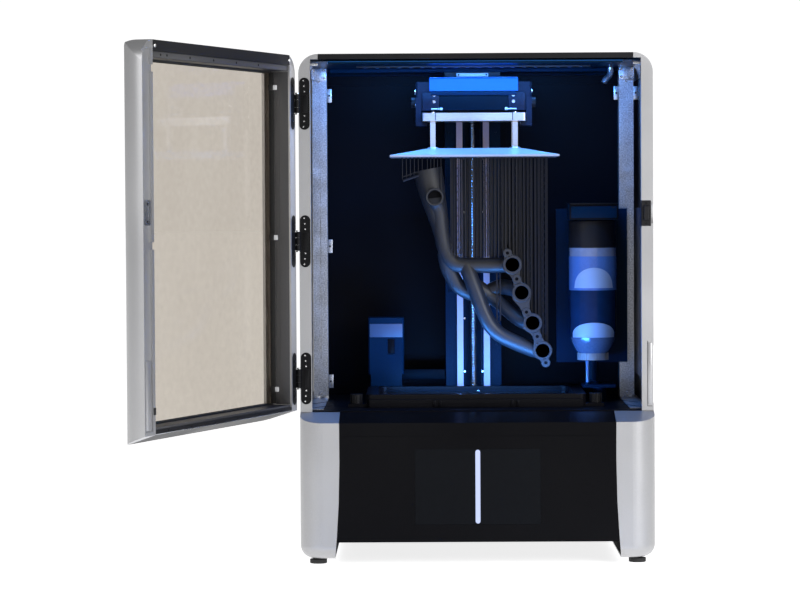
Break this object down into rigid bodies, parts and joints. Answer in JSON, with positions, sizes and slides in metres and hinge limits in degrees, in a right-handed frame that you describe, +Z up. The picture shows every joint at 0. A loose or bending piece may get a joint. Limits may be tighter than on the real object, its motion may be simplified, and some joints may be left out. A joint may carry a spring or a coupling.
{
  "type": "resin printer",
  "caption": "Enclosed resin 3D printer: framed glass door on pins, lead screw carriage with a build plate over a vat, upside-down resin bottle, base with a touchscreen.",
  "frame": {"origin": "on the standing plane, under the middle of the chamber's front plane", "axes": "+X to the printer's right seen from the front, +Y to the back, +Z up"},
  "size_m": [0.8415, 1.1423, 0.862],
  "materials": {
    "silver_paint": "fine metallic silver, satin",
    "black_cover": "satin black",
    "dark_metal": "fine textured black",
    "screen_glass": "polished, dark behind",
    "light_bar": "lit diffuser",
    "foot_rubber": "matte",
    "bare_aluminium": "machined",
    "steel": "ground",
    "black_metal": "black oxide",
    "black_plastic": "fine grain",
    "resin_plastic": "glossy, clear band near the top",
    "white_plastic": "moulded",
    "clear_tube": "clear",
    "film": "clear film",
    "window_glass": "warm tinted",
    "circuit": "solder mask"
  },
  "bodies": {
    "printer": {"base_chassis": "dark_metal", "base_side_left": "silver_paint", "base_side_right": "silver_paint", "body_hinge_leaves": "black_metal", "bottle_holder": "dark_metal", "chamber_posts": "silver_paint", "control_board": "circuit", "deck_plate": "dark_metal", "dispenser_base": "dark_metal", "exhaust_fan_frame": "black_plastic", "feed_tube": "clear_tube", "front_band": "black_cover", "front_fascia": "black_cover", "hinge_pins": "steel", "latch_housing": "black_plastic", "level_sensor": "black_plastic", "light_engine": "dark_metal", "linear_rails": "steel", "mask_screen": "screen_glass", "power_inlet": "black_plastic", "power_supply": "dark_metal", "rear_cover": "dark_metal", "rear_wall": "dark_metal", "side_panel_left": "silver_paint", "side_panel_right": "silver_paint", "status_light_bar": "light_bar", "top_bracket": "bare_aluminium", "top_cover": "black_cover", "touchscreen": "screen_glass", "z_column": "dark_metal", "z_motor": "black_metal"},
    "door": {"door_rail_free": "silver_paint", "door_rail_hinge": "silver_paint", "door_top_bar": "black_cover", "door_bottom_bar": "black_cover", "door_window": "window_glass", "strike_plate": "steel", "door_hinge_leaves": "black_metal"},
    "latch_plunger": {"latch_plunger": "black_plastic"},
    "carriage": {"carriage_plate": "bare_aluminium", "arm_block": "bare_aluminium", "arm_cover": "bare_aluminium", "platform_hooks": "bare_aluminium"},
    "lead_screw": {"lead_screw": "steel"},
    "platform": {"build_plate": "bare_aluminium", "platform_bridge": "bare_aluminium"},
    "clamp_knob_left": {"clamp_knob_left": "black_plastic"},
    "clamp_knob_right": {"clamp_knob_right": "black_plastic"},
    "vat": {"vat_frame": "black_plastic", "vat_film": "film"},
    "vat_knob_left": {"vat_knob_left": "black_plastic"},
    "vat_knob_right": {"vat_knob_right": "black_plastic"},
    "bottle": {"resin_bottle": "resin_plastic", "bottle_cap": "white_plastic"},
    "fan_rotor": {"fan_rotor": "black_plastic"},
    "power_rocker": {"power_rocker": "black_plastic"},
    "foot_front_left": {"foot_front_left": "foot_rubber"},
    "foot_front_right": {"foot_front_right": "foot_rubber"},
    "foot_rear_left": {"foot_rear_left": "foot_rubber"},
    "foot_rear_right": {"foot_rear_right": "foot_rubber"}
  },
  "joints": [
    {"name": "door_hinge", "type": "hinge", "parent": "printer", "child": "door", "pos_m": [-0.302, -0.003, 0.545], "axis": [0, 0, 1], "range_deg": [0, 110]},
    {"name": "latch_push", "type": "slide", "parent": "printer", "child": "latch_plunger", "axis": [0, 1, 0], "range_m": [0, 0.005], "stiffness_N_per_m": 400},
    {"name": "z_axis", "type": "slide", "parent": "printer", "child": "carriage", "axis": [0, 0, 1], "range_m": [-0.425, 0]},
    {"name": "screw_turn", "type": "hinge", "parent": "printer", "child": "lead_screw", "pos_m": [0, 0.346, 0.5], "axis": [0, 0, 1], "continuous": true},
    {"name": "platform_pull", "type": "slide", "parent": "carriage", "child": "platform", "axis": [0, -1, 0], "range_m": [0, 0.04]},
    {"name": "clamp_left_turn", "type": "hinge", "parent": "carriage", "child": "clamp_knob_left", "pos_m": [-0.106, 0.217, 0.786], "axis": [-1, 0, 0], "range_deg": [0, 270]},
    {"name": "clamp_right_turn", "type": "hinge", "parent": "carriage", "child": "clamp_knob_right", "pos_m": [0.106, 0.217, 0.786], "axis": [1, 0, 0], "range_deg": [0, 270]},
    {"name": "vat_lift", "type": "slide", "parent": "printer", "child": "vat", "axis": [0, 0, 1], "range_m": [0, 0.025]},
    {"name": "vat_knob_left_turn", "type": "hinge", "parent": "vat", "child": "vat_knob_left", "pos_m": [-0.207, 0.1, 0.27], "axis": [0, 0, 1], "range_deg": [0, 720]},
    {"name": "vat_knob_right_turn", "type": "hinge", "parent": "vat", "child": "vat_knob_right", "pos_m": [0.207, 0.1, 0.27], "axis": [0, 0, 1], "range_deg": [0, 720]},
    {"name": "bottle_pull", "type": "slide", "parent": "printer", "child": "bottle", "axis": [0, -1, 0], "range_m": [0, 0.09]},
    {"name": "fan_turn", "type": "hinge", "parent": "printer", "child": "fan_rotor", "pos_m": [0.15, 0.55, 0.75], "axis": [0, 1, 0], "continuous": true},
    {"name": "power_rock", "type": "hinge", "parent": "printer", "child": "power_rocker", "pos_m": [-0.18, 0.5695, 0.123], "axis": [1, 0, 0], "range_deg": [-16, 0]},
    {"name": "foot_front_left_level", "type": "slide", "parent": "printer", "child": "foot_front_left", "axis": [0, 0, -1], "range_m": [0, 0.008]},
    {"name": "foot_front_right_level", "type": "slide", "parent": "printer", "child": "foot_front_right", "axis": [0, 0, -1], "range_m": [0, 0.008]},
    {"name": "foot_rear_left_level", "type": "slide", "parent": "printer", "child": "foot_rear_left", "axis": [0, 0, -1], "range_m": [0, 0.008]},
    {"name": "foot_rear_right_level", "type": "slide", "parent": "printer", "child": "foot_rear_right", "axis": [0, 0, -1], "range_m": [0, 0.008]}
  ],
  "couplings": [
    {"joint": "screw_turn", "follows": "z_axis", "rad_per_m": -628.32}
  ]
}
